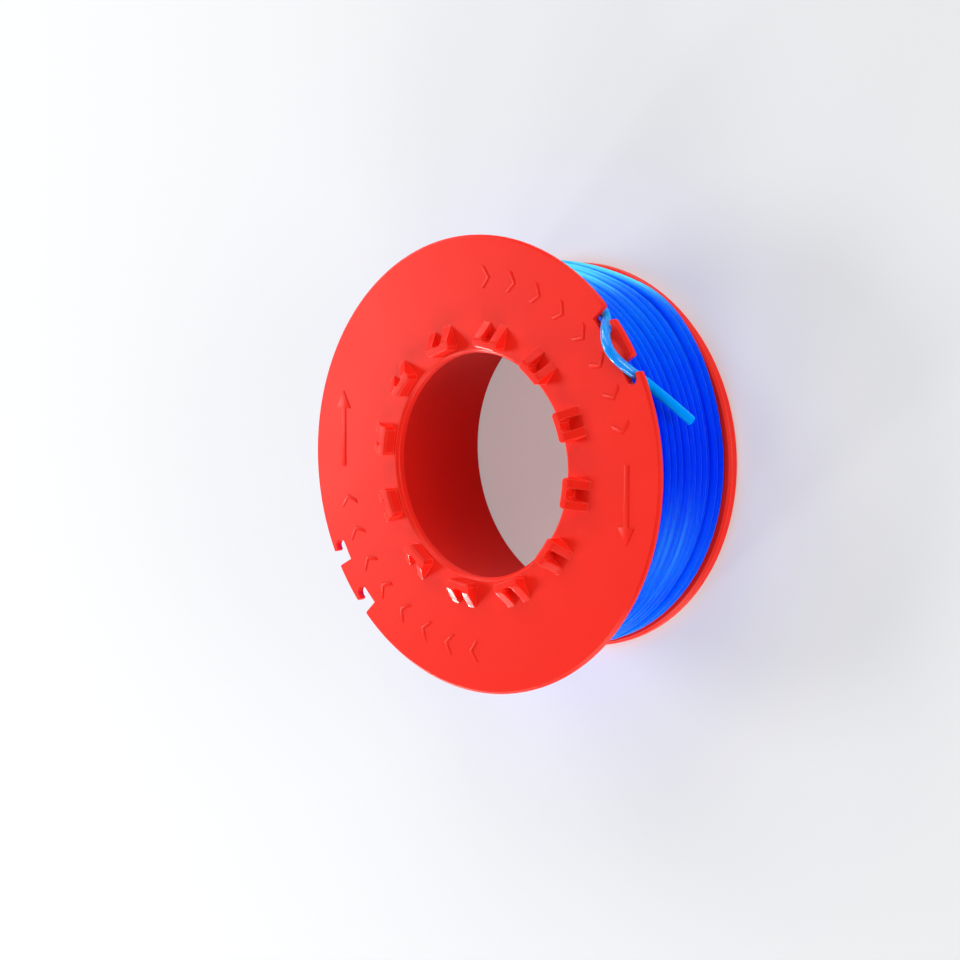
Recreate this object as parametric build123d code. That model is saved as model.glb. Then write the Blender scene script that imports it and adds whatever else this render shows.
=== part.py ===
from build123d import *

import os
from math import cos, pi, radians, sin, sqrt

# Trimmer line spool: one moulded spool with a cogged front flange, and nylon line wound on its hub.
# Frame: Z is the spool's axis, z = 0 is the outer face of the rear flange, and the cogs point up.
# The pair of slots that holds the line's end is at +X. Lengths are millimetres, angles degrees.

# Spool body
SPOOL_LENGTH = 27.2
FRONT_FLANGE_RADIUS = 38.0
FRONT_ROOT_THICKNESS = 1.9
FRONT_RIM_THICKNESS = 1.25
REAR_FLANGE_RADIUS = 32.8
REAR_ROOT_THICKNESS = 2.3
REAR_RIM_THICKNESS = 2.0
HUB_BORE_RADIUS = 24.4
HUB_WALL = 1.8
WEB_THICKNESS = 1.6
OPENING_RADIUS = 18.65
RIM_CHAMFER = 0.4
OPENING_CHAMFER = 0.5

# Drive cogs: U shapes around the opening, closed towards the axis, with ramped legs
COG_COUNT = 12
COG_HEIGHT = 2.3
COG_SETBACK = 0.95
COG_CREST_LENGTH = 1.6
COG_RAMP_LENGTH = 2.7
COG_WIDTH = 5.0
COG_GAP = 2.1
COG_WALL = 1.2
COG_CORNER_CHAMFER = 1.5
COG_GAP_CHAMFER = 0.4
COG_CREST_CHAMFER = 0.3

# Line slots: a pair on each of two opposite sides, each hooked at its floor
SLOT_HALF_ANGLE = 7.4
SLOT_WIDTH = 2.6
SLOT_DEPTH = 3.25
SLOT_MOUTH_ROUNDING = 0.8
HOOK_LIP_ROUNDING = 0.3
HOOK_HEIGHT = 2.1
HOOK_REACH = 1.5

# Line
LINE_DIAMETER = 1.65
WINDING_DEPTH = 5.8
WINDING_CROWN = 0.6
WINDING_SIDE_GAP = 0.05
TURN_GROOVE_DEPTH = 0.5
TURN_CREST_SHARE = 0.4
TURNS_BEFORE_GAP = 2
LIFT_OFF_ANGLE = 28.0
LIFT_OFF_SINK = 0.66
RISE_START_DEPTH = 3.4
FALL_END_DEPTH = 1.7
TAIL_END_INSET = 1.1
TAIL_END_ANGLE = -22.8
TAIL_END_DEPTH = 10.6
SLOT_BEND_RADIUS = 5.0
TAIL_BEND_RADIUS = 12.0

# Values that follow from the driving dimensions
HUB_RADIUS = HUB_BORE_RADIUS + HUB_WALL
COG_INNER_RADIUS = OPENING_RADIUS + COG_SETBACK
COG_TOP_RADIUS = COG_INNER_RADIUS + COG_CREST_LENGTH
COG_OUTER_RADIUS = COG_TOP_RADIUS + COG_RAMP_LENGTH
SLOT_FLOOR_RADIUS = FRONT_FLANGE_RADIUS - SLOT_DEPTH
TAIL_END_RADIUS = FRONT_FLANGE_RADIUS - TAIL_END_INSET
WINDING_RADIUS = HUB_RADIUS + WINDING_DEPTH
WINDING_BOTTOM = REAR_ROOT_THICKNESS + WINDING_SIDE_GAP
WINDING_TOP = SPOOL_LENGTH - FRONT_ROOT_THICKNESS - WINDING_SIDE_GAP
TURN_COUNT = int((WINDING_TOP - WINDING_BOTTOM) // LINE_DIAMETER)
LOOSE_GAP = WINDING_TOP - WINDING_BOTTOM - TURN_COUNT * LINE_DIAMETER

# How far a foot is sunk into what carries it, and how far a cutter runs past what it cuts
COG_ROOT_DEPTH = 0.4
OVERRUN = 1.0


def chamfered_section(corners):
    """Make a closed section in the plane of the axis from (radius, height, chamfer) corners."""
    outline = Polyline(*[(r, z) for r, z, _ in corners], close=True)
    section = make_face(outline)
    for r, z, size in corners:
        if size > 0:
            corner = section.vertices().sort_by_distance((r, z, 0))[0]
            section = chamfer(corner, size)
    return Plane.XZ * section


def make_hub_and_flanges():
    """Turn the hub, its two flanges and the web around the front opening."""
    web_bottom = SPOOL_LENGTH - WEB_THICKNESS
    front_root = SPOOL_LENGTH - FRONT_ROOT_THICKNESS
    front_rim = SPOOL_LENGTH - FRONT_RIM_THICKNESS
    corners = [
        (OPENING_RADIUS, SPOOL_LENGTH, OPENING_CHAMFER),
        (FRONT_FLANGE_RADIUS, SPOOL_LENGTH, RIM_CHAMFER),
        (FRONT_FLANGE_RADIUS, front_rim, RIM_CHAMFER),
        (HUB_RADIUS, front_root, 0),
        (HUB_RADIUS, REAR_ROOT_THICKNESS, 0),
        (REAR_FLANGE_RADIUS, REAR_RIM_THICKNESS, RIM_CHAMFER),
        (REAR_FLANGE_RADIUS, 0, RIM_CHAMFER),
        (HUB_BORE_RADIUS, 0, OPENING_CHAMFER),
        (HUB_BORE_RADIUS, web_bottom, 0),
        (OPENING_RADIUS, web_bottom, 0),
    ]
    return revolve(chamfered_section(corners), Axis.Z)


def make_cog():
    """Make one U-shaped cog on the X axis, its foot sunk a little into the web."""
    foot = SPOOL_LENGTH - COG_ROOT_DEPTH
    top = SPOOL_LENGTH + COG_HEIGHT
    side = [
        (COG_INNER_RADIUS, foot, 0),
        (COG_INNER_RADIUS, top, COG_CREST_CHAMFER),
        (COG_TOP_RADIUS, top, COG_CREST_CHAMFER),
        (COG_OUTER_RADIUS, SPOOL_LENGTH, 0),
        (COG_OUTER_RADIUS, foot, 0),
    ]
    ring = revolve(chamfered_section(side), Axis.Z)
    length = COG_OUTER_RADIUS - COG_INNER_RADIUS + 2 * OVERRUN
    nose = COG_INNER_RADIUS - OVERRUN
    outside = Pos(nose) * Rectangle(length, COG_WIDTH, align=(Align.MIN, Align.CENTER))
    outside = chamfer(outside.vertices().group_by(Axis.X)[0], COG_CORNER_CHAMFER)
    gap_start = COG_INNER_RADIUS + COG_WALL
    gap = Pos(gap_start) * Rectangle(length, COG_GAP, align=(Align.MIN, Align.CENTER))
    gap = chamfer(gap.vertices().group_by(Axis.X)[0], COG_GAP_CHAMFER)
    plan = outside - gap
    return ring & (Pos(0, 0, foot) * extrude(plan, COG_HEIGHT + COG_ROOT_DEPTH + OVERRUN))


def make_slot_cutter():
    """Make the cutter of one line slot on the X axis, hooked clockwise at its floor."""
    reach = FRONT_FLANGE_RADIUS - SLOT_FLOOR_RADIUS + 2 * OVERRUN
    straight = Pos(SLOT_FLOOR_RADIUS) * Rectangle(reach, SLOT_WIDTH, align=(Align.MIN, Align.CENTER))
    hook_width = SLOT_WIDTH / 2 + HOOK_REACH - HOOK_HEIGHT / 2
    hook = Pos(SLOT_FLOOR_RADIUS) * Rectangle(HOOK_HEIGHT, hook_width, align=(Align.MIN, Align.MAX))
    hook_end = Pos(SLOT_FLOOR_RADIUS + HOOK_HEIGHT / 2, -hook_width) * Circle(HOOK_HEIGHT / 2)
    mouth_start = FRONT_FLANGE_RADIUS - SLOT_MOUTH_ROUNDING
    mouth_width = SLOT_WIDTH + 2 * SLOT_MOUTH_ROUNDING
    mouth = Pos(mouth_start) * Rectangle(reach, mouth_width, align=(Align.MIN, Align.CENTER))
    for side in (-1, 1):
        mouth -= Pos(mouth_start, side * mouth_width / 2) * Circle(SLOT_MOUTH_ROUNDING)
    plan = straight + hook + hook_end + mouth
    lip = plan.vertices().sort_by_distance((SLOT_FLOOR_RADIUS + HOOK_HEIGHT, -SLOT_WIDTH / 2, 0))[0]
    plan = fillet(lip, HOOK_LIP_ROUNDING)
    depth = 2 * FRONT_ROOT_THICKNESS
    return Pos(0, 0, SPOOL_LENGTH - depth + OVERRUN) * extrude(plan, depth)


def make_spool():
    """Make the whole moulding: hub, flanges, cogs and slots."""
    spool = make_hub_and_flanges()
    cog = make_cog()
    step = 360 / COG_COUNT
    for index in range(COG_COUNT):
        spool += Rot(0, 0, step * (index + 0.5)) * cog
    cutter = make_slot_cutter()
    for side in (0, 180):
        for half in (-SLOT_HALF_ANGLE, SLOT_HALF_ANGLE):
            spool -= Rot(0, 0, side + half) * cutter
    return spool


def turn_heights():
    """List the heights of the top layer's turns: tight ones, with one loose gap near the rear flange."""
    heights = []
    for turn in range(TURN_COUNT):
        gap = LOOSE_GAP if turn >= TURNS_BEFORE_GAP else 0
        heights.append(WINDING_BOTTOM + (turn + 0.5) * LINE_DIAMETER + gap)
    return heights


def make_wound_body(groove_depth):
    """Turn the wound line's body, crowned in the middle, with grooves of one depth between tight turns."""
    heights = turn_heights()
    first, last = heights[0], heights[-1]
    crests = [WINDING_RADIUS + WINDING_CROWN * sin(pi * (z - first) / (last - first)) for z in heights]
    crest_half = LINE_DIAMETER * TURN_CREST_SHARE / 2
    end_radius = WINDING_RADIUS - groove_depth
    outline = [(HUB_RADIUS, WINDING_BOTTOM, 0), (end_radius, WINDING_BOTTOM, 0)]
    for index, (crest, height) in enumerate(zip(crests, heights)):
        if index > 0 and groove_depth > 0:
            spacing = height - heights[index - 1]
            depth = groove_depth * spacing / LINE_DIAMETER
            level = (crest + crests[index - 1]) / 2
            outline.append((level - depth, height - spacing / 2, 0))
        outline.append((crest, height - crest_half, 0))
        outline.append((crest, height + crest_half, 0))
    outline += [(end_radius, WINDING_TOP, 0), (HUB_RADIUS, WINDING_TOP, 0)]
    return revolve(chamfered_section(outline), Axis.Z)


def make_winding():
    """Make the wound line as one solid, with a ridge for each turn of its top layer."""
    return make_wound_body(TURN_GROOVE_DEPTH)


def line_end_route():
    """List the points that the line's end runs through, from its top turn to its cut tip."""
    seat = SLOT_FLOOR_RADIUS + HOOK_HEIGHT / 2
    x = seat * cos(radians(SLOT_HALF_ANGLE))
    slot_y = seat * sin(radians(SLOT_HALF_ANGLE))
    rise = slot_y - FRONT_RIM_THICKNESS / 2
    middle_y = -HOOK_REACH / 2
    crest_z = SPOOL_LENGTH + rise
    lift_off_radius = WINDING_RADIUS - LIFT_OFF_SINK
    lift_off = (
        lift_off_radius * cos(radians(LIFT_OFF_ANGLE)),
        lift_off_radius * sin(radians(LIFT_OFF_ANGLE)),
        turn_heights()[-1],
    )
    before_slot = rise + RISE_START_DEPTH
    after_slot = rise + FALL_END_DEPTH
    tip = (
        TAIL_END_RADIUS * cos(radians(TAIL_END_ANGLE)),
        TAIL_END_RADIUS * sin(radians(TAIL_END_ANGLE)),
        SPOOL_LENGTH - TAIL_END_DEPTH,
    )
    return [
        lift_off,
        (x, middle_y + before_slot, crest_z - before_slot),
        (x, middle_y, crest_z),
        (x, middle_y - after_slot, crest_z - after_slot),
        tip,
    ]


def make_line_end():
    """Sweep the line's end through the slots; it starts flat on the crest of the winding's top turn."""
    route = line_end_route()
    loop_radius = (route[2][2] - SPOOL_LENGTH) * sqrt(2)
    radii = [SLOT_BEND_RADIUS, loop_radius, TAIL_BEND_RADIUS]
    path = FilletPolyline(*route, radius=radii)
    section = Plane(origin=path @ 0, z_dir=path % 0) * Circle(LINE_DIAMETER / 2)
    tube = sweep(section, path=path)
    print("line end: length", round(path.length, 2), "bend radii", [round(r, 2) for r in radii])
    wound = make_wound_body(0)
    return tube - wound


def main():
    """Build every solid and write one file for each."""
    os.makedirs("parts", exist_ok=True)
    solids = {
        "spool": make_spool(),
        "line_winding": make_winding(),
        "line_end": make_line_end(),
    }
    for name, solid in solids.items():
        export_step(solid, f"parts/{name}.step")


main()
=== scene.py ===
import logging
import math
from dataclasses import dataclass, field
from enum import Enum
from typing import Callable

import bmesh
import bpy
from mathutils import Matrix, Vector


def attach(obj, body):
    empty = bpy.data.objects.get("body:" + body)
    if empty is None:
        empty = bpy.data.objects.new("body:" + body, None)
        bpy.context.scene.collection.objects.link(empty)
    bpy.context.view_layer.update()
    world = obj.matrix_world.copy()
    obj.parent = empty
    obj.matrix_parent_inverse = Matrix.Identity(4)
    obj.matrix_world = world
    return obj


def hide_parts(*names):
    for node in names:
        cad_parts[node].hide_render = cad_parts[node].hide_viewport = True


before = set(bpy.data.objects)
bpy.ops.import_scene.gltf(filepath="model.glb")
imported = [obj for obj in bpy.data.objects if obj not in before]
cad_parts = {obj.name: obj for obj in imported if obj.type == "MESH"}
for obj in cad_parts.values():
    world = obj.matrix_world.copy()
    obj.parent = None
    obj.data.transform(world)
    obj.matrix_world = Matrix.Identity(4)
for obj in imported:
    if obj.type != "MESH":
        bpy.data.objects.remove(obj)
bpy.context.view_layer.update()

MM = 0.001
BODY = "root"
PAINTED_LIGHT = "looseness_and_painted_light"
PAINTED_HIGHLIGHTS = "painted_highlights"
PAINTED_EDGE_HIGHLIGHT = "painted_edge_highlight"
HALF_TURN = 180.0
FULL_TURN = 360.0
NOISE_LOW = 0.3
NOISE_HIGH = 0.7
LOG = logging.getLogger("trimmer_line_spool")

Colour = tuple[float, float, float, float]
Point = tuple[float, float, float]

WHITE: Colour = (1.0, 1.0, 1.0, 1.0)


class Mark(Enum):
    """The plain signs moulded on the front face."""

    ARROW = "arrow"
    CHEVRON = "chevron"


# Helpers for modelling by hand


def deselect_all() -> None:
    """Leave edit mode and deselect every object."""
    if bpy.context.object and bpy.context.object.mode != "OBJECT":
        bpy.ops.object.mode_set(mode="OBJECT")
    bpy.ops.object.select_all(action="DESELECT")


def make_active(piece: bpy.types.Object) -> None:
    """Select one object alone and make it the active one.

    Args:
        piece: The object to work on.
    """
    deselect_all()
    piece.select_set(True)
    bpy.context.view_layer.objects.active = piece


def edit_all(piece: bpy.types.Object) -> None:
    """Enter an object's edit mode with all of its mesh selected.

    Args:
        piece: The object to edit.
    """
    make_active(piece)
    bpy.ops.object.mode_set(mode="EDIT")
    bpy.ops.mesh.select_all(action="SELECT")


def select_in_edit(
    piece: bpy.types.Object,
    mode: str,
    wanted: Callable[[Vector], bool],
) -> None:
    """Select the vertices or edges whose middle passes a test.

    Args:
        piece: The object, in edit mode.
        mode: "VERT" or "EDGE".
        wanted: A test on an element's middle point.
    """
    bpy.ops.mesh.select_mode(type=mode)
    bpy.ops.mesh.select_all(action="DESELECT")
    mesh = bmesh.from_edit_mesh(piece.data)
    if mode == "VERT":
        for vertex in mesh.verts:
            vertex.select_set(wanted(vertex.co))
    else:
        for edge in mesh.edges:
            edge.select_set(wanted((edge.verts[0].co + edge.verts[1].co) / 2.0))
    mesh.select_flush_mode()
    bmesh.update_edit_mesh(piece.data)


def apply_modifiers(piece: bpy.types.Object) -> None:
    """Apply every modifier of an object, first to last.

    Args:
        piece: The object to finish.
    """
    make_active(piece)
    for name in [modifier.name for modifier in piece.modifiers]:
        bpy.ops.object.modifier_apply(modifier=name)


def apply_place(piece: bpy.types.Object) -> None:
    """Put an object's place, turn and scale into its mesh.

    Args:
        piece: The object to settle.
    """
    make_active(piece)
    bpy.ops.object.transform_apply(location=True, rotation=True, scale=True)


def even_shading(piece: bpy.types.Object) -> None:
    """Let large faces set the shading of the edges beside them.

    Args:
        piece: The smooth-shaded object.
    """
    normals = piece.modifiers.new("even_shading", "WEIGHTED_NORMAL")
    normals.mode = "FACE_AREA"
    normals.keep_sharp = True
    apply_modifiers(piece)


def join_pieces(pieces: list[bpy.types.Object], name: str) -> bpy.types.Object:
    """Join several meshes into one named object.

    Args:
        pieces: The objects to join.
        name: The joined object's name.

    Returns:
        The joined object.
    """
    deselect_all()
    for piece in pieces:
        piece.select_set(True)
    bpy.context.view_layer.objects.active = pieces[0]
    bpy.ops.object.join()
    pieces[0].name = name
    return pieces[0]


def turned_copy(piece: bpy.types.Object, degrees: float) -> bpy.types.Object:
    """Copy a settled mesh and turn the copy about the spool's axis.

    Args:
        piece: The mesh to copy.
        degrees: The turn, counter-clockwise as seen from the cogs.

    Returns:
        The copy, with its own mesh.
    """
    make_active(piece)
    bpy.ops.object.duplicate()
    copy = bpy.context.object
    copy.rotation_euler = (0.0, 0.0, math.radians(degrees))
    apply_place(copy)
    return copy


def store_values(piece: bpy.types.Object, name: str, domain: str, values: list[float]) -> None:
    """Store values on a mesh, for its finish to read.

    Args:
        piece: The mesh object.
        name: The name that the finish reads.
        domain: "POINT" or "FACE".
        values: One value for each point or face, from 0 to 1.
    """
    attribute = piece.data.attributes.new(name, "FLOAT", domain)
    attribute.data.foreach_set("value", values)


def set_finish(piece: bpy.types.Object, material: bpy.types.Material) -> None:
    """Give a piece its one material.

    Args:
        piece: The piece to dress.
        material: The finished material.
    """
    piece.data.materials.clear()
    piece.data.materials.append(material)


# Places around the axis


def degrees_apart(angle: float, middle: float, period: float = FULL_TURN) -> float:
    """Measure how far an angle lies from a middle, the short way round.

    Args:
        angle: The angle, in radians.
        middle: The middle, in degrees.
        period: The turn after which the pattern repeats, in degrees.

    Returns:
        The distance in degrees, at most half a period to either side.
    """
    half = period / 2.0
    return (math.degrees(angle) - middle + half) % period - half


def bell(away: float, width: float) -> float:
    """Give a share that is 1 in the middle and fades smoothly to both sides.

    Args:
        away: The distance from the middle.
        width: The distance over which the share fades.

    Returns:
        The share, from 0 to 1.
    """
    return math.exp(-((away / width) ** 2))


# Shared shader effects


def set_inputs(node: bpy.types.Node, **values: float | Colour | Point) -> None:
    """Set plain values on a node's sockets.

    Args:
        node: The node to set.
        **values: Values, with an underscore for each space in a socket's name.
    """
    for name, value in values.items():
        node.inputs[name.replace("_", " ")].default_value = value


def start_group(name: str, taken: list[str], given: list[str]) -> bpy.types.ShaderNodeTree:
    """Start a shader group with its named values.

    Args:
        name: The group's name.
        taken: The names of the values that it takes in.
        given: The names of the values that it puts out.

    Returns:
        The group's empty tree.
    """
    tree = bpy.data.node_groups.new(name, "ShaderNodeTree")
    for socket in taken:
        tree.interface.new_socket(socket, in_out="INPUT", socket_type="NodeSocketFloat")
    for socket in given:
        tree.interface.new_socket(socket, in_out="OUTPUT", socket_type="NodeSocketFloat")
    return tree


@dataclass(frozen=True)
class NoiseLayer:
    """One noise of the mottle: which scale it takes, what it puts out and how fine it is."""

    scale: str
    result: str
    detail: float
    roughness: float


class MottleGroup:
    """Uneven tone and fine grain, as any moulded or drawn plastic shows them."""

    NAME = "surface_mottle"
    LAYERS = (
        NoiseLayer("Patch Scale", "Tone", detail=2.0, roughness=0.45),
        NoiseLayer("Grain Scale", "Grain", detail=3.0, roughness=0.6),
    )

    @classmethod
    def get(cls) -> bpy.types.ShaderNodeTree:
        """Build the group once, and return it."""
        if cls.NAME in bpy.data.node_groups:
            return bpy.data.node_groups[cls.NAME]
        scales = [layer.scale for layer in cls.LAYERS]
        results = [layer.result for layer in cls.LAYERS]
        tree = start_group(cls.NAME, scales, results)
        nodes = tree.nodes
        links = tree.links
        inputs = nodes.new("NodeGroupInput")
        outputs = nodes.new("NodeGroupOutput")
        place = nodes.new("ShaderNodeTexCoord")
        for layer in cls.LAYERS:
            noise = nodes.new("ShaderNodeTexNoise")
            set_inputs(noise, Detail=layer.detail, Roughness=layer.roughness)
            links.new(place.outputs["Object"], noise.inputs["Vector"])
            links.new(inputs.outputs[layer.scale], noise.inputs["Scale"])
            links.new(noise.outputs["Fac"], outputs.inputs[layer.result])
        return tree


class RadiusGroup:
    """Distance from the spool's axis as a mask that rises between two radii."""

    NAME = "radius_mask"
    ACROSS_AXIS: Point = (1.0, 1.0, 0.0)

    @classmethod
    def get(cls) -> bpy.types.ShaderNodeTree:
        """Build the group once, and return it."""
        if cls.NAME in bpy.data.node_groups:
            return bpy.data.node_groups[cls.NAME]
        tree = start_group(cls.NAME, ["Low", "High"], ["Mask"])
        nodes = tree.nodes
        links = tree.links
        inputs = nodes.new("NodeGroupInput")
        outputs = nodes.new("NodeGroupOutput")
        place = nodes.new("ShaderNodeTexCoord")
        flat = nodes.new("ShaderNodeVectorMath")
        flat.operation = "MULTIPLY"
        flat.inputs[1].default_value = cls.ACROSS_AXIS
        length = nodes.new("ShaderNodeVectorMath")
        length.operation = "LENGTH"
        ramp = nodes.new("ShaderNodeMapRange")
        ramp.interpolation_type = "SMOOTHSTEP"
        links.new(place.outputs["Object"], flat.inputs[0])
        links.new(flat.outputs["Vector"], length.inputs[0])
        links.new(length.outputs["Value"], ramp.inputs["Value"])
        links.new(inputs.outputs["Low"], ramp.inputs["From Min"])
        links.new(inputs.outputs["High"], ramp.inputs["From Max"])
        links.new(ramp.outputs["Result"], outputs.inputs["Mask"])
        return tree


def add_group(
    nodes: bpy.types.Nodes,
    tree: bpy.types.ShaderNodeTree,
    **values: float,
) -> bpy.types.ShaderNode:
    """Place a shader group in a material and set its inputs.

    Args:
        nodes: The material's nodes.
        tree: The group to place.
        **values: Input values, with an underscore for each space in a socket's name.

    Returns:
        The group's node.
    """
    node = nodes.new("ShaderNodeGroup")
    node.node_tree = tree
    set_inputs(node, **values)
    return node


def read_values(nodes: bpy.types.Nodes, name: str) -> bpy.types.NodeSocket:
    """Read values that are stored on the mesh.

    Args:
        nodes: The material's nodes.
        name: The name that they are stored under.

    Returns:
        The socket that carries them, 0 on a mesh without them.
    """
    node = nodes.new("ShaderNodeAttribute")
    node.attribute_name = name
    return node.outputs["Fac"]


def mix_colours(
    nodes: bpy.types.Nodes,
    links: bpy.types.NodeLinks,
    mask: bpy.types.NodeSocket,
    first: Colour | bpy.types.NodeSocket,
    second: Colour | bpy.types.NodeSocket,
) -> bpy.types.NodeSocket:
    """Mix two colours by a mask.

    Args:
        nodes: The material's nodes.
        links: The material's links.
        mask: The mask that goes from the first colour to the second.
        first: The colour, or the socket that carries it, where the mask is 0.
        second: The colour, or the socket that carries it, where the mask is 1.

    Returns:
        The socket that carries the mixed colour.
    """
    mix = nodes.new("ShaderNodeMix")
    mix.data_type = "RGBA"
    links.new(mask, mix.inputs["Factor"])
    for side, colour in (("A", first), ("B", second)):
        if isinstance(colour, bpy.types.NodeSocket):
            links.new(colour, mix.inputs[side])
        else:
            mix.inputs[side].default_value = colour
    return mix.outputs["Result"]


def spread(
    nodes: bpy.types.Nodes,
    links: bpy.types.NodeLinks,
    value: bpy.types.NodeSocket,
    low: float,
    high: float,
) -> bpy.types.NodeSocket:
    """Spread the middle of a noise value over a range.

    Args:
        nodes: The material's nodes.
        links: The material's links.
        value: The noise value, mostly between NOISE_LOW and NOISE_HIGH.
        low: The result at NOISE_LOW and below.
        high: The result at NOISE_HIGH and above.

    Returns:
        The socket that carries the result.
    """
    remap = nodes.new("ShaderNodeMapRange")
    links.new(value, remap.inputs["Value"])
    set_inputs(remap, From_Min=NOISE_LOW, From_Max=NOISE_HIGH, To_Min=low, To_Max=high)
    return remap.outputs["Result"]


def seen_directly(nodes: bpy.types.Nodes, links: bpy.types.NodeLinks) -> bpy.types.NodeSocket:
    """Make a mask of the rays that show a surface: from the camera, or mirrored.

    Args:
        nodes: The node tree's nodes.
        links: The node tree's links.

    Returns:
        The socket that is 1 for such rays.
    """
    path = nodes.new("ShaderNodeLightPath")
    either = nodes.new("ShaderNodeMath")
    either.operation = "MAXIMUM"
    links.new(path.outputs["Is Camera Ray"], either.inputs[0])
    links.new(path.outputs["Is Glossy Ray"], either.inputs[1])
    return either.outputs["Value"]


# Finishes


def start_material(
    name: str,
) -> tuple[bpy.types.Material, bpy.types.Nodes, bpy.types.NodeLinks, bpy.types.Node]:
    """Start a material with one plain shader.

    Args:
        name: The material's name.

    Returns:
        The material, its nodes, its links and its shader.
    """
    material = bpy.data.materials.new(name)
    material.use_nodes = True
    tree = material.node_tree
    return material, tree.nodes, tree.links, tree.nodes["Principled BSDF"]


@dataclass(frozen=True)
class MouldedPlastic:
    """Glossy injection-moulded plastic with a faintly uneven skin, and a paler red painted on its
    softened edges as a highlight.
    """

    name: str = "moulded_red_plastic"
    colour: Colour = (0.90, 0.017, 0.008, 1.0)
    pale: Colour = (0.93, 0.024, 0.013, 1.0)
    # A paler red on the softened edges is a painted highlight.
    edge: Colour = (0.93, 0.048, 0.030, 1.0)
    glint: Colour = (1.0, 0.88, 0.80, 1.0)
    gloss_low: float = 0.28
    gloss_high: float = 0.36
    patches_per_metre: float = 55.0
    grains_per_metre: float = 2600.0
    grain_height: float = 0.004 * MM
    grain_strength: float = 0.5
    refraction: float = 1.5
    reflection: float = 0.13
    glow: float = 0.08
    glow_reach: Point = (1.0, 0.12, 0.08)
    glow_depth: float = 0.8 * MM

    def make(self) -> bpy.types.Material:
        """Build the material and return it."""
        material, nodes, links, shader = start_material(self.name)
        mottle = add_group(
            nodes,
            MottleGroup.get(),
            Patch_Scale=self.patches_per_metre,
            Grain_Scale=self.grains_per_metre,
        )
        tone = spread(nodes, links, mottle.outputs["Tone"], 0.0, 1.0)
        body = mix_colours(nodes, links, tone, self.colour, self.pale)
        # The softened edges take the paler red, a painted highlight.
        edge_highlight = read_values(nodes, PAINTED_EDGE_HIGHLIGHT)
        colour = mix_colours(nodes, links, edge_highlight, body, self.edge)
        links.new(colour, shader.inputs["Base Color"])
        gloss = spread(nodes, links, mottle.outputs["Tone"], self.gloss_high, self.gloss_low)
        links.new(gloss, shader.inputs["Roughness"])
        bump = nodes.new("ShaderNodeBump")
        set_inputs(bump, Strength=self.grain_strength, Distance=self.grain_height)
        links.new(mottle.outputs["Grain"], bump.inputs["Height"])
        links.new(bump.outputs["Normal"], shader.inputs["Normal"])
        set_inputs(
            shader,
            IOR=self.refraction,
            Specular_IOR_Level=self.reflection,
            Specular_Tint=self.glint,
            Subsurface_Weight=self.glow,
            Subsurface_Radius=self.glow_reach,
            Subsurface_Scale=self.glow_depth,
        )
        return material


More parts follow.
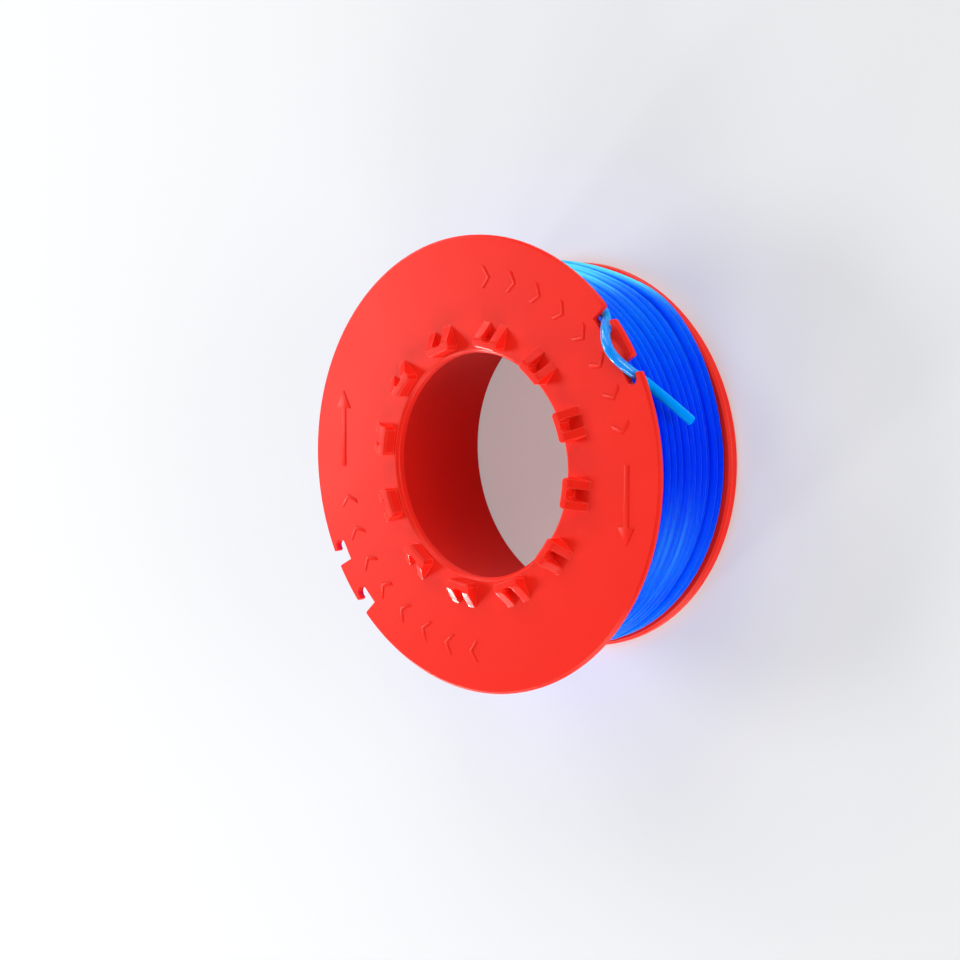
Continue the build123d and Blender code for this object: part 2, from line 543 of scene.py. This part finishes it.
@dataclass(frozen=True)
class NylonLine:
    """Smooth drawn nylon line in one blue, with painted light: a deep blue as painted shade on two
    opposite sides of the winding, a paler blue as painted light between them, a paler blue still as
    painted light on the loop and the tail, and painted highlights along the turns.
    """

    name: str = "blue_nylon_line"
    # The deep blue is painted shade; the paler blues are painted light.
    painted_shade: Colour = (0.0, 0.030, 0.92, 1.0)
    painted_lit: Colour = (0.0, 0.095, 0.98, 1.0)
    painted_lit_pale: Colour = (0.0, 0.160, 1.0, 1.0)
    # A paler blue still, painted light on the loop and the tail.
    free_painted_light: Colour = (0.0, 0.31, 1.0, 1.0)
    # Pale cyan painted highlights along the turns.
    painted_highlight: Colour = (0.10, 0.80, 1.0, 1.0)
    glint: Colour = (0.03, 0.80, 1.0, 1.0)
    edge_glow: Colour = (0.0, 0.65, 1.0, 1.0)
    free_from: float = 33.8 * MM
    free_to: float = 34.8 * MM
    wound_gloss: float = 0.30
    free_gloss: float = 0.14
    loop_from: float = 25.4 * MM
    loop_to: float = 26.4 * MM
    loop_gloss: float = 0.14
    patches_per_metre: float = 140.0
    refraction: float = 1.24
    reflection: float = 0.15
    edge_glow_weight: float = 0.12
    edge_glow_spread: float = 0.45
    glow: float = 0.60
    glow_reach: Point = (0.05, 0.35, 1.0)
    glow_depth: float = 1.2 * MM

    def make(self) -> bpy.types.Material:
        """Build the material and return it."""
        material, nodes, links, shader = start_material(self.name)
        mottle = add_group(nodes, MottleGroup.get(), Patch_Scale=self.patches_per_metre)
        tone = spread(nodes, links, mottle.outputs["Tone"], 0.0, 1.0)
        # The winding's blue runs from painted shade to painted light, with painted highlights over it.
        painted_lit = mix_colours(nodes, links, tone, self.painted_lit, self.painted_lit_pale)
        plain = mix_colours(nodes, links, read_values(nodes, PAINTED_LIGHT), self.painted_shade, painted_lit)
        wound = mix_colours(nodes, links, read_values(nodes, PAINTED_HIGHLIGHTS), plain, self.painted_highlight)
        # The loop and the tail take the paler blue of painted light; the same mask sets their gloss.
        reach = add_group(nodes, RadiusGroup.get(), Low=self.free_from, High=self.free_to)
        colour = mix_colours(nodes, links, reach.outputs["Mask"], wound, self.free_painted_light)
        links.new(colour, shader.inputs["Base Color"])
        gloss = nodes.new("ShaderNodeMapRange")
        links.new(reach.outputs["Mask"], gloss.inputs["Value"])
        set_inputs(gloss, To_Min=self.wound_gloss, To_Max=self.free_gloss)
        links.new(gloss.outputs["Result"], shader.inputs["Roughness"])
        place = nodes.new("ShaderNodeTexCoord")
        split = nodes.new("ShaderNodeSeparateXYZ")
        links.new(place.outputs["Object"], split.inputs["Vector"])
        loop = nodes.new("ShaderNodeMapRange")
        links.new(split.outputs["Z"], loop.inputs["Value"])
        set_inputs(loop, From_Min=self.loop_from, From_Max=self.loop_to)
        links.new(loop.outputs["Result"], shader.inputs["Coat Weight"])
        set_inputs(
            shader,
            IOR=self.refraction,
            Specular_IOR_Level=self.reflection,
            Specular_Tint=self.glint,
            Coat_Roughness=self.loop_gloss,
            Sheen_Weight=self.edge_glow_weight,
            Sheen_Roughness=self.edge_glow_spread,
            Sheen_Tint=self.edge_glow,
            Subsurface_Weight=self.glow,
            Subsurface_Radius=self.glow_reach,
            Subsurface_Scale=self.glow_depth,
        )
        return material


@dataclass(frozen=True)
class PaleFloor:
    """Plain pale floor that keeps the object's shadow, with some of its own paleness in every view."""

    name: str = "pale_floor"
    colour: Colour = (0.80, 0.81, 0.82, 1.0)
    glow: Colour = (0.86, 0.87, 0.88, 1.0)
    glow_share: float = 0.35
    roughness: float = 0.85
    reflection: float = 0.2

    def make(self) -> bpy.types.Material:
        """Build the material and return it."""
        material, nodes, links, shader = start_material(self.name)
        set_inputs(
            shader,
            Base_Color=self.colour,
            Roughness=self.roughness,
            Specular_IOR_Level=self.reflection,
        )
        pale = nodes.new("ShaderNodeEmission")
        set_inputs(pale, Color=self.glow)
        seen = seen_directly(nodes, links)
        share = nodes.new("ShaderNodeMath")
        share.operation = "MULTIPLY"
        share.inputs[1].default_value = self.glow_share
        mix = nodes.new("ShaderNodeMixShader")
        links.new(seen, share.inputs[0])
        links.new(share.outputs["Value"], mix.inputs["Fac"])
        links.new(shader.outputs["BSDF"], mix.inputs[1])
        links.new(pale.outputs["Emission"], mix.inputs[2])
        links.new(mix.outputs["Shader"], nodes["Material Output"].inputs["Surface"])
        return material


# The moulded spool


@dataclass
class MouldedSpool:
    """The spool's moulding: the frame's own solid with every hard edge softened."""

    finish: bpy.types.Material
    node: str = "spool"
    edge_softness: float = 0.10 * MM
    edge_steps: int = 2
    edge_angle: float = 28.0
    flat_angle: float = 0.4
    smooth_angle: float = 32.0
    shortest_edge: float = 0.002 * MM
    slot_zone: float = 30.5 * MM
    slot_zone_base: float = 20.0 * MM
    slot_share: float = 0.22

    def softness_at(self, place: Vector) -> float:
        """Give the share of the full softness that a hard edge takes.

        Args:
            place: The middle of the edge.

        Returns:
            A small share around the finely curved slots, and 1 elsewhere.
        """
        far_out = math.hypot(place.x, place.y) > self.slot_zone
        if far_out and place.z > self.slot_zone_base:
            return self.slot_share
        return 1.0

    def weigh_edges(self, spool: bpy.types.Object) -> None:
        """Mark each hard edge of the moulding with its share of the softness.

        Args:
            spool: The moulding, in edit mode.
        """
        bpy.ops.mesh.select_mode(type="EDGE")
        bpy.ops.mesh.select_all(action="DESELECT")
        bpy.ops.mesh.edges_select_sharp(sharpness=math.radians(self.edge_angle))
        bpy.ops.object.mode_set(mode="OBJECT")
        mesh = spool.data
        weights = mesh.attributes.new("bevel_weight_edge", "FLOAT", "EDGE")
        for edge in mesh.edges:
            if edge.select:
                start, end = (mesh.vertices[index].co for index in edge.vertices)
                weights.data[edge.index].value = self.softness_at((start + end) / 2.0)

    def build(self) -> bpy.types.Object:
        """Copy the frame's solid, soften its edges and dress it.

        Returns:
            The finished moulding.
        """
        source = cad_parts[self.node]
        make_active(source)
        bpy.ops.object.duplicate()
        spool = bpy.context.object
        spool.name = "moulded_spool"
        spool.parent = None
        spool.matrix_world = Matrix.Identity(4)
        edit_all(spool)
        bpy.ops.mesh.remove_doubles(threshold=self.shortest_edge)
        bpy.ops.mesh.dissolve_limited(angle_limit=math.radians(self.flat_angle))
        bpy.ops.mesh.customdata_custom_splitnormals_clear()
        self.weigh_edges(spool)
        bevel = spool.modifiers.new("edge_softness", "BEVEL")
        bevel.width = self.edge_softness
        bevel.segments = self.edge_steps
        bevel.limit_method = "WEIGHT"
        bevel.use_clamp_overlap = False
        # The soft edges take a second slot for a moment, so that they can be told from the rest and
        # given a painted highlight.
        bevel.material = 1
        spool.data.materials.clear()
        spool.data.materials.append(self.finish)
        spool.data.materials.append(self.finish)
        apply_modifiers(spool)
        # The softened edges are stored as the place of the painted highlight.
        edge_highlight = [float(face.material_index) for face in spool.data.polygons]
        store_values(spool, PAINTED_EDGE_HIGHLIGHT, "FACE", edge_highlight)
        bpy.ops.object.shade_smooth_by_angle(angle=math.radians(self.smooth_angle))
        even_shading(spool)
        set_finish(spool, self.finish)
        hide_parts(self.node)
        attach(spool, BODY)
        return spool


# The raised signs on the front face


@dataclass
class FaceRelief:
    """Plain raised signs on the front face: winding arrows, and chevron bands between them."""

    finish: bpy.types.Material
    face_height: float = 27.2 * MM
    height: float = 0.11 * MM
    sunk: float = 0.15 * MM
    soft_edge: float = 0.10 * MM
    edge_steps: int = 2
    edge_angle: float = 40.0
    smooth_angle: float = 35.0
    arrow_shaft: float = 10.0 * MM
    arrow_shaft_width: float = 0.9 * MM
    arrow_lip: float = 0.05 * MM
    arrow_head: float = 2.9 * MM
    arrow_head_width: float = 3.2 * MM
    arrow_tail: Point = (-26.4 * MM, 16.9 * MM, 0.0)
    arrow_turn: float = -36.8
    chevron_span: float = 3.6 * MM
    chevron_stroke: float = 0.75 * MM
    chevron_peak: float = 1.3 * MM
    chevron_radius: float = 31.1 * MM
    chevron_count: int = 8
    chevron_first: float = 53.0
    chevron_last: float = -20.0

    def start_plane(self, width: float, length: float) -> bpy.types.Object:
        """Add a flat bar that starts at the origin and runs along Y, and enter edit mode.

        Args:
            width: The bar's size along X.
            length: The bar's size along Y.

        Returns:
            The new object, in edit mode.
        """
        deselect_all()
        bpy.ops.mesh.primitive_plane_add(size=1.0, location=(0.0, 0.0, 0.0))
        bar = bpy.context.object
        edit_all(bar)
        bpy.ops.transform.translate(value=(0.0, 0.5, 0.0))
        bpy.ops.transform.resize(value=(width, length, 1.0), center_override=(0.0, 0.0, 0.0))
        return bar

    def raise_sign(self, sign: bpy.types.Object) -> None:
        """Give a flat sign its thickness and a soft upper edge.

        Args:
            sign: The flat sign, in edit mode.
        """
        total = self.height + self.sunk
        bpy.ops.mesh.select_all(action="SELECT")
        bpy.ops.mesh.extrude_region_move(TRANSFORM_OT_translate={"value": (0.0, 0.0, total)})
        bpy.ops.mesh.select_all(action="SELECT")
        bpy.ops.mesh.normals_make_consistent(inside=False)
        bpy.ops.object.mode_set(mode="OBJECT")
        bevel = sign.modifiers.new("soft_edge", "BEVEL")
        bevel.width = self.soft_edge
        bevel.segments = self.edge_steps
        bevel.limit_method = "ANGLE"
        bevel.angle_limit = math.radians(self.edge_angle)
        apply_modifiers(sign)

    def make_arrow(self) -> bpy.types.Object:
        """Model one arrow on the face, pointing the way the line is wound."""
        arrow = self.start_plane(self.arrow_shaft_width, self.arrow_shaft)
        near_end = self.arrow_shaft - self.arrow_lip
        select_in_edit(arrow, "EDGE", lambda middle: middle.y > near_end)
        bpy.ops.mesh.extrude_region_move(TRANSFORM_OT_translate={"value": (0.0, self.arrow_lip, 0.0)})
        widen = self.arrow_head_width / self.arrow_shaft_width
        bpy.ops.transform.resize(value=(widen, 1.0, 1.0))
        bpy.ops.mesh.extrude_region_move(TRANSFORM_OT_translate={"value": (0.0, self.arrow_head, 0.0)})
        bpy.ops.mesh.merge(type="CENTER")
        self.raise_sign(arrow)
        arrow.location = Vector(self.arrow_tail) + Vector((0.0, 0.0, self.face_height - self.sunk))
        arrow.rotation_euler = (0.0, 0.0, math.radians(self.arrow_turn))
        apply_place(arrow)
        return arrow

    def make_chevron(self) -> bpy.types.Object:
        """Model one chevron on the face at angle 0, pointing the way the line is wound."""
        chevron = self.start_plane(self.chevron_span, self.chevron_stroke)
        bpy.ops.mesh.subdivide(number_cuts=1)
        near_middle = self.chevron_span / 4.0
        select_in_edit(chevron, "VERT", lambda place: abs(place.x) < near_middle)
        bpy.ops.transform.translate(value=(0.0, self.chevron_peak, 0.0))
        self.raise_sign(chevron)
        chevron.location = (self.chevron_radius, 0.0, self.face_height - self.sunk)
        chevron.rotation_euler = (0.0, 0.0, math.pi)
        apply_place(chevron)
        return chevron

    def make_band(self, mark: Mark) -> bpy.types.Object:
        """Model one sign and set its copies around the face.

        Args:
            mark: Which sign to set out.

        Returns:
            All copies as one object.
        """
        if mark is Mark.ARROW:
            first = self.make_arrow()
            turns = [0.0, HALF_TURN]
        else:
            first = self.make_chevron()
            step = (self.chevron_last - self.chevron_first) / (self.chevron_count - 1)
            angles = [self.chevron_first + step * index for index in range(self.chevron_count)]
            turns = angles + [angle + HALF_TURN for angle in angles]
        copies = [turned_copy(first, turn) for turn in turns]
        bpy.data.objects.remove(first)
        band = join_pieces(copies, f"{mark.value}_relief")
        bpy.ops.object.shade_smooth_by_angle(angle=math.radians(self.smooth_angle))
        set_finish(band, self.finish)
        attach(band, BODY)
        return band

    def build(self) -> list[bpy.types.Object]:
        """Model and dress every sign.

        Returns:
            One object for each kind of sign.
        """
        return [self.make_band(mark) for mark in Mark]


# The line


@dataclass(frozen=True)
class Bulge:
    """A stretch where the turns beside the rear flange stand a little proud."""

    angle: float
    width: float
    height: float
    reach: float = 9.0 * MM

    def rise_at(self, angle: float, above_flange: float) -> float:
        """Tell how much further out a turn lies.

        Args:
            angle: The place around the axis, in radians.
            above_flange: The turn's height above the rear flange.

        Returns:
            The extra radius, in metres.
        """
        around = bell(degrees_apart(angle, self.angle), self.width)
        along = bell(above_flange, self.reach)
        return self.height * around * along


@dataclass(frozen=True)
class PaintedHighlightStretch:
    """A stretch of the winding with painted highlights: thin pale lines along one side of each turn.
    """

    angle: float
    width: float
    height: float
    reach: float
    lean: float
    strength: float
    sharpness: int = 7

    def share_at(self, place: Vector, facing: Vector) -> float:
        """Tell how bright a painted highlight is: it runs along one side of each turn.

        Args:
            place: A place on the line.
            facing: The direction that the line's surface faces there.

        Returns:
            The painted highlight's strength there, from 0 up.
        """
        angle = math.atan2(place.y, place.x)
        around = bell(degrees_apart(angle, self.angle), self.width)
        along = bell(place.z - self.height, self.reach)
        ridge = Vector((math.cos(angle), math.sin(angle), self.lean)).normalized()
        crest = max(facing.dot(ridge), 0.0) ** self.sharpness
        return self.strength * around * along * crest


@dataclass
class WoundLine:
    """One strand of line: its layers on the hub, then its end through the two slots."""

    finish: bpy.types.Material
    diameter: float = 1.65 * MM
    outer_radius: float = 32.0 * MM
    low: float = 2.35 * MM
    high: float = 25.25 * MM
    layers: int = 4
    turns_per_layer: int = 12
    turns_before_gap: int = 2
    points_per_turn: int = 20
    layer_step: float = 1.38 * MM
    gap_rise: float = 0.60 * MM
    gap_spread: float = 0.2
    crossover_angle: float = 180.0
    crossover_share: float = 0.22
    lift_off_angle: float = 42.0
    uneven_spacing: float = 0.10 * MM
    turn_change: float = 2.4
    sway: float = 0.06 * MM
    sways_per_turn: float = 1.37
    heave: float = 0.08 * MM
    heaves_per_turn: float = 1.83
    crown: float = 0.60 * MM
    curve_order: int = 3
    curve_steps: int = 4
    round_steps: int = 5
    cap_seam: float = 0.001 * MM
    smooth_angle: float = 50.0
    # Where the painted shade lies around the axis, and how far it spreads.
    painted_shade_angle: float = -33.0
    painted_shade_width: float = 40.0
    painted_highlight_change: float = 0.28
    bulges: list[Bulge] = field(
        default_factory=lambda: [
            Bulge(angle=15.0, width=19.0, height=2.0 * MM),
            Bulge(angle=72.0, width=20.0, height=2.2 * MM),
        ]
    )
    # Stretches of the winding that take painted highlights.
    painted_highlight_stretches: list[PaintedHighlightStretch] = field(
        default_factory=lambda: [
            PaintedHighlightStretch(
                angle=50.0, width=18.0, height=11.5 * MM, reach=5.0 * MM, lean=0.45, strength=3.0
            ),
            PaintedHighlightStretch(
                angle=44.0, width=20.0, height=4.0 * MM, reach=2.4 * MM, lean=0.45, strength=2.4
            ),
            PaintedHighlightStretch(
                angle=-60.0, width=13.0, height=14.0 * MM, reach=7.0 * MM, lean=1.1, strength=0.36
            ),
        ]
    )
    # The end's points are in millimetres, from the top layer through both slots to the tip.
    end_route: list[Point] = field(
        default_factory=lambda: [
            (27.4, 15.8, 24.0),
            (31.6, 10.8, 23.7),
            (35.4, 6.4, 24.0),
            (35.6, 2.2, 28.0),
            (35.5, -0.75, 29.3),
            (35.4, -3.7, 28.0),
            (35.3, -7.5, 24.0),
            (34.8, -10.9, 20.4),
            (34.05, -14.3, 16.6),
        ]
    )

    def height_at(self, place: float) -> float:
        """Find the height of a place in a layer: turns lie close together, but for one wider gap.

        Args:
            place: The place, counted in turns from the rear flange.

        Returns:
            The height of a turn's middle line there, in metres.
        """
        loose_gap = self.high - self.low - (self.turns_per_layer + 1) * self.diameter
        past_gap = min(max(place - self.turns_before_gap + 1.0, 0.0), 1.0)
        return self.low + self.diameter * (place + 0.5) + loose_gap * past_gap

    def seat_of_turn(self, turn: int) -> tuple[float, float]:
        """Find where one turn lies: layers run up and down the hub, each in the grooves of the last.

        Args:
            turn: The turn's number, 0 first on the hub.

        Returns:
            The radius and the height of the turn's middle line, in metres.
        """
        total = self.layers * self.turns_per_layer
        layer = min(max(turn, 0), total - 1) // self.turns_per_layer
        place = turn - layer * self.turns_per_layer
        layers_above = self.layers - 1 - layer
        if layers_above % 2 == 1:
            place = self.turns_per_layer - place - 0.5
        middle = math.sin(math.pi * place / self.turns_per_layer)
        radius = self.outer_radius - self.diameter / 2 - layers_above * self.layer_step
        if layers_above == 1:
            from_gap = place - self.turns_before_gap + 0.5
            radius += self.gap_rise * math.exp(-(from_gap**2) / self.gap_spread)
        uneven = self.uneven_spacing * middle * math.sin(self.turn_change * turn)
        return radius + self.crown * middle, self.height_at(place) + uneven

    def winding_point(self, turns: float) -> Point:
        """Find the strand's place after some turns from its start on the hub.

        Args:
            turns: How many turns of the spool have been wound.

        Returns:
            The place, in metres.
        """
        turn = math.floor(turns + 0.5)
        before = self.seat_of_turn(turn - 1)
        after = self.seat_of_turn(turn)
        crossed = min(max((turns - turn) / self.crossover_share + 0.5, 0.0), 1.0)
        blend = crossed * crossed * (3.0 - 2.0 * crossed)
        radius = before[0] + (after[0] - before[0]) * blend
        height = before[1] + (after[1] - before[1]) * blend
        angle = math.radians(self.crossover_angle) - math.tau * turns
        share = (height - self.low) / (self.high - self.low)
        looseness_and_painted_light = math.sin(math.pi * share) ** 2
        height += self.sway * looseness_and_painted_light * math.sin(math.tau * self.sways_per_turn * turns)
        radius += self.heave * math.sin(math.tau * self.heaves_per_turn * turns)
        radius += sum(bulge.rise_at(angle, height - self.low) for bulge in self.bulges)
        return radius * math.cos(angle), radius * math.sin(angle), height

    def strand_points(self) -> list[Point]:
        """List the whole strand's points, from the hub to the cut tip."""
        last_part = (self.crossover_angle - self.lift_off_angle) / FULL_TURN
        total = self.layers * self.turns_per_layer + last_part
        count = int(total * self.points_per_turn)
        # The curve runs a little inside its points, so the points lie that much further out.
        reach = 4.0 / (3.0 + math.cos(math.tau / self.points_per_turn))
        points = []
        for index in range(count + 1):
            x, y, z = self.winding_point(index / self.points_per_turn)
            points.append((x * reach, y * reach, z))
        points += [(x * MM, y * MM, z * MM) for x, y, z in self.end_route]
        return points

    def painted_light_at(self, place: Vector) -> float:
        """Tell how much painted light the winding takes: painted shade on two opposite sides, painted
        light between them.

        Args:
            place: A place on the line.

        Returns:
            0 for the painted shade to 1 for the painted light.
        """
        away = degrees_apart(math.atan2(place.y, place.x), self.painted_shade_angle, HALF_TURN)
        return 1.0 - bell(away, self.painted_shade_width)

    def painted_highlight_at(self, place: Vector, facing: Vector) -> float:
        """Tell how bright the painted highlights are, each turn a little unlike the next.

        Args:
            place: A place on the line.
            facing: The direction that the line's surface faces there.

        Returns:
            0 for no painted highlight to 1 for the brightest.
        """
        turn = round((place.z - self.low) / self.diameter)
        unlike = 1.0 - self.painted_highlight_change + self.painted_highlight_change * math.sin(self.turn_change * turn)
        shares = [stretch.share_at(place, facing) for stretch in self.painted_highlight_stretches]
        return min(unlike * sum(shares), 1.0)

    def mark_line(self, line: bpy.types.Object) -> None:
        """Store where the painted shade, the painted light and the painted highlights lie, for the
        finish to read.

        Args:
            line: The line's mesh object.
        """
        vertices = line.data.vertices
        looseness_and_painted_light = [self.painted_light_at(vertex.co) for vertex in vertices]
        painted_highlights = [self.painted_highlight_at(vertex.co, vertex.normal) for vertex in vertices]
        store_values(line, PAINTED_LIGHT, "POINT", looseness_and_painted_light)
        store_values(line, PAINTED_HIGHLIGHTS, "POINT", painted_highlights)

    def build(self) -> bpy.types.Object:
        """Lay the strand along its points, make it a mesh and dress it.

        Returns:
            The finished line.
        """
        points = self.strand_points()
        curve = bpy.data.curves.new("trimmer_line", "CURVE")
        curve.dimensions = "3D"
        curve.resolution_u = self.curve_steps
        curve.bevel_depth = self.diameter / 2
        curve.bevel_resolution = self.round_steps
        curve.use_fill_caps = True
        spline = curve.splines.new("NURBS")
        spline.points.add(len(points) - 1)
        for target, (x, y, z) in zip(spline.points, points):
            target.co = (x, y, z, 1.0)
        spline.order_u = self.curve_order
        spline.use_endpoint_u = True
        line = bpy.data.objects.new("trimmer_line", curve)
        bpy.context.collection.objects.link(line)
        make_active(line)
        bpy.ops.object.convert(target="MESH")
        line = bpy.context.object
        line.name = "trimmer_line"
        edit_all(line)
        bpy.ops.mesh.remove_doubles(threshold=self.cap_seam)
        bpy.ops.object.mode_set(mode="OBJECT")
        bpy.ops.object.shade_smooth_by_angle(angle=math.radians(self.smooth_angle))
        self.mark_line(line)
        set_finish(line, self.finish)
        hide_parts("line_winding", "line_end")
        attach(line, BODY)
        return line


# Floor, light and camera


@dataclass
class SoftPanel:
    """One soft studio panel that faces a point on the object."""

    name: str
    direction: Point
    distance: float
    size: float
    power: float

    def build(self, aim: Vector) -> bpy.types.Object:
        """Add the panel.

        Args:
            aim: The point that the panel faces.

        Returns:
            The lamp object.
        """
        lamp = bpy.data.lights.new(self.name, "AREA")
        lamp.shape = "DISK"
        lamp.size = self.size
        lamp.energy = self.power
        panel = bpy.data.objects.new(self.name, lamp)
        bpy.context.collection.objects.link(panel)
        away = Vector(self.direction).normalized()
        panel.location = aim + away * self.distance
        panel.rotation_euler = (-away).to_track_quat("-Z", "Y").to_euler()
        return panel


@dataclass
class Studio:
    """Pale floor, soft panels and the camera at the photograph's viewing angle."""

    floor_finish: bpy.types.Material
    floor_size: float = 4.0
    sky_strength: float = 0.24
    backdrop_strength: float = 0.88
    focus: Point = (0.0, 0.0, 14.0 * MM)
    camera_place: Point = (305.46 * MM, -163.72 * MM, 409.36 * MM)
    camera_back: Point = (0.5945, -0.3134, 0.7405)
    camera_up: Point = (0.5372, 0.8400, -0.0758)
    lens: float = 117.26
    sensor_width: float = 36.0
    nearest: float = 0.01
    farthest: float = 20.0
    panels: list[SoftPanel] = field(
        default_factory=lambda: [
            SoftPanel("main_panel", (-0.69, 0.48, 0.54), distance=0.70, size=0.26, power=2.2),
            SoftPanel("front_panel", (0.80, -0.45, 0.23), distance=0.65, size=0.32, power=1.7),
            SoftPanel("rim_panel", (0.55, 0.65, 0.52), distance=0.65, size=0.40, power=1.3),
            SoftPanel("glint_panel", (-0.88, -0.42, 0.24), distance=0.60, size=0.16, power=0.8),
            SoftPanel("cog_panel", (-0.99, -0.08, 0.06), distance=0.60, size=0.09, power=3.6),
            SoftPanel("low_panel", (-0.42, -0.84, 0.34), distance=0.60, size=0.30, power=1.6),
            SoftPanel("top_panel", (-0.12, 0.93, 0.36), distance=0.65, size=0.30, power=1.4),
        ]
    )

    def add_floor(self) -> None:
        """Lay the floor under the rear flange."""
        deselect_all()
        bpy.ops.mesh.primitive_plane_add(size=self.floor_size, location=(0.0, 0.0, 0.0))
        floor = bpy.context.object
        floor.name = "floor"
        floor.data.materials.append(self.floor_finish)

    def add_sky(self) -> None:
        """Light the scene evenly from all sides, and show the camera a pale background."""
        world = bpy.data.worlds.new("studio_sky")
        bpy.context.scene.world = world
        world.use_nodes = True
        nodes = world.node_tree.nodes
        links = world.node_tree.links
        sky = nodes["Background"]
        set_inputs(sky, Color=WHITE, Strength=self.sky_strength)
        backdrop = nodes.new("ShaderNodeBackground")
        set_inputs(backdrop, Color=WHITE, Strength=self.backdrop_strength)
        path = nodes.new("ShaderNodeLightPath")
        mix = nodes.new("ShaderNodeMixShader")
        links.new(path.outputs["Is Camera Ray"], mix.inputs["Fac"])
        links.new(sky.outputs["Background"], mix.inputs[1])
        links.new(backdrop.outputs["Background"], mix.inputs[2])
        links.new(mix.outputs["Shader"], nodes["World Output"].inputs["Surface"])

    def add_camera(self) -> None:
        """Set the camera where the photograph was taken from."""
        data = bpy.data.cameras.new("photo_camera")
        data.sensor_width = self.sensor_width
        data.lens = self.lens
        data.clip_start = self.nearest
        data.clip_end = self.farthest
        camera = bpy.data.objects.new("photo_camera", data)
        bpy.context.collection.objects.link(camera)
        back = Vector(self.camera_back).normalized()
        right = Vector(self.camera_up).cross(back).normalized()
        up = back.cross(right)
        turn = Matrix((right, up, back)).transposed().to_4x4()
        camera.matrix_world = Matrix.Translation(self.camera_place) @ turn
        bpy.context.scene.camera = camera

    def build(self) -> None:
        """Set up floor, light, camera and plain colour handling."""
        self.add_floor()
        self.add_sky()
        for panel in self.panels:
            panel.build(Vector(self.focus))
        self.add_camera()
        bpy.context.scene.view_settings.view_transform = "Standard"


def main() -> None:
    """Build every piece in order and report it."""
    logging.basicConfig(level=logging.INFO, format="%(message)s")
    red = MouldedPlastic().make()
    blue = NylonLine().make()
    pieces = [MouldedSpool(red).build()]
    pieces += FaceRelief(red).build()
    pieces.append(WoundLine(blue).build())
    for piece in pieces:
        LOG.info("%s: %d faces", piece.name, len(piece.data.polygons))
    Studio(PaleFloor().make()).build()


if __name__ == "__main__":
    main()
